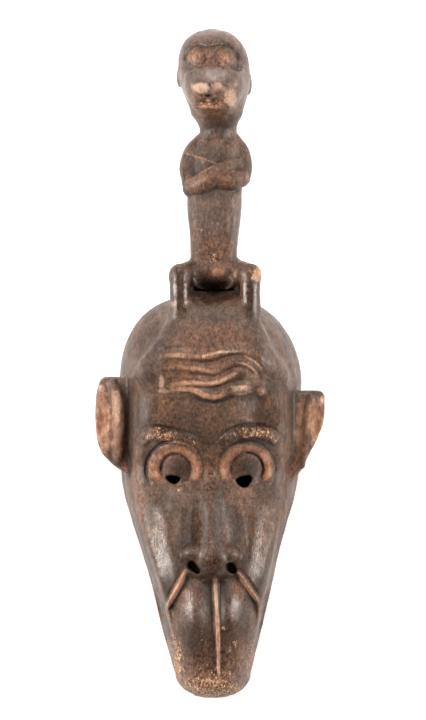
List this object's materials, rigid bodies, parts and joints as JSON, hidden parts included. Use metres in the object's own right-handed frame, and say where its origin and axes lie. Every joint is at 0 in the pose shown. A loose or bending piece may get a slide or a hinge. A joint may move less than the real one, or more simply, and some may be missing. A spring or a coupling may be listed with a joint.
{
  "type": "carved monkey mask",
  "caption": "Long hollow wooden mask of a monkey's face with ringed pierced eyes and a wrinkled brow, and a small seated monkey with folded arms on its crown, lying face up.",
  "frame": {"origin": "centre of the bounding box in X and Y, on the plane of the flat back rim", "axes": "+Z out of the face, +Y from the chin to the seated monkey's head, +X to the right for a viewer who looks at the face"},
  "size_m": [0.2068, 0.6018, 0.1296],
  "materials": {
    "carved_wood": "dark oiled patina, glossy on the raised forms, worn to tan on edges and ridges"
  },
  "bodies": {
    "root": {"monkey_mask": "carved_wood"}
  },
  "joints": []
}
